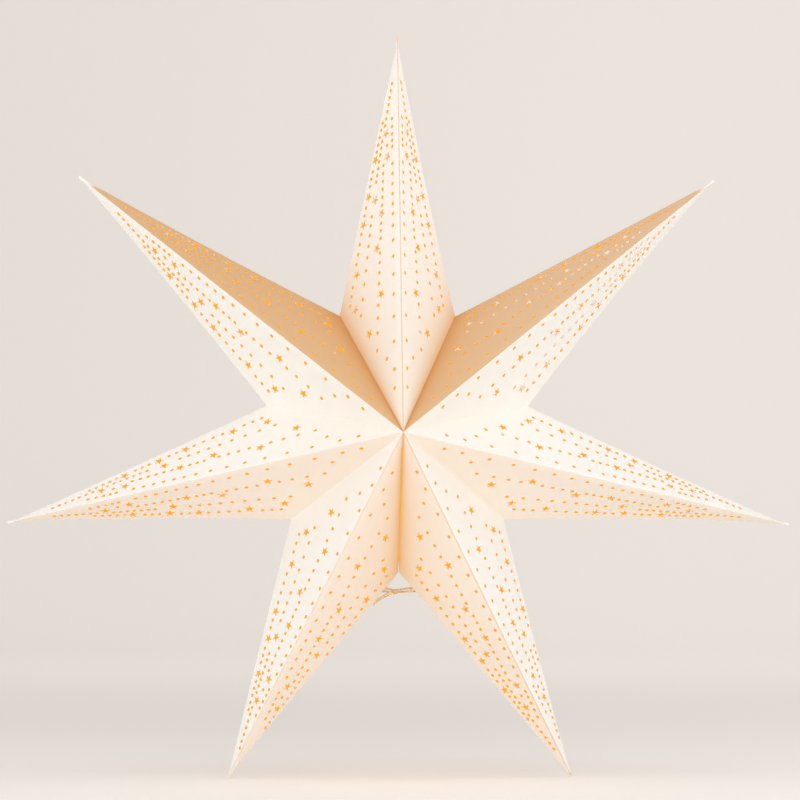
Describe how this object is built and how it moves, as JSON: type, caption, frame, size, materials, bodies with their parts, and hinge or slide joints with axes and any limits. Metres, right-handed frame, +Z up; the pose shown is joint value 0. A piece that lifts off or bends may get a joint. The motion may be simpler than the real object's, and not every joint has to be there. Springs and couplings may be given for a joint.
{
  "type": "origami star lantern",
  "caption": "Folded white card star lantern with hollow pointed rays, pierced with small dots and stars, tied shut with twine at its lowest valley.",
  "frame": {"origin": "the tip of the top ray, where the star is hung", "axes": "+Z up along the top ray, -Y out of the front, +X to the right seen from the front"},
  "size_m": [0.5972, 0.17, 0.5671],
  "materials": {
    "card": "matt uncoated white card, pierced, with a warm glow from inside",
    "twine": "matt twisted natural twine"
  },
  "bodies": {
    "root": {"ray_top": "card", "ray_upper_right": "card", "ray_right": "card", "ray_lower_right": "card", "ray_lower_left": "card", "ray_left": "card", "ray_upper_left": "card", "tie_string": "twine"}
  },
  "joints": []
}
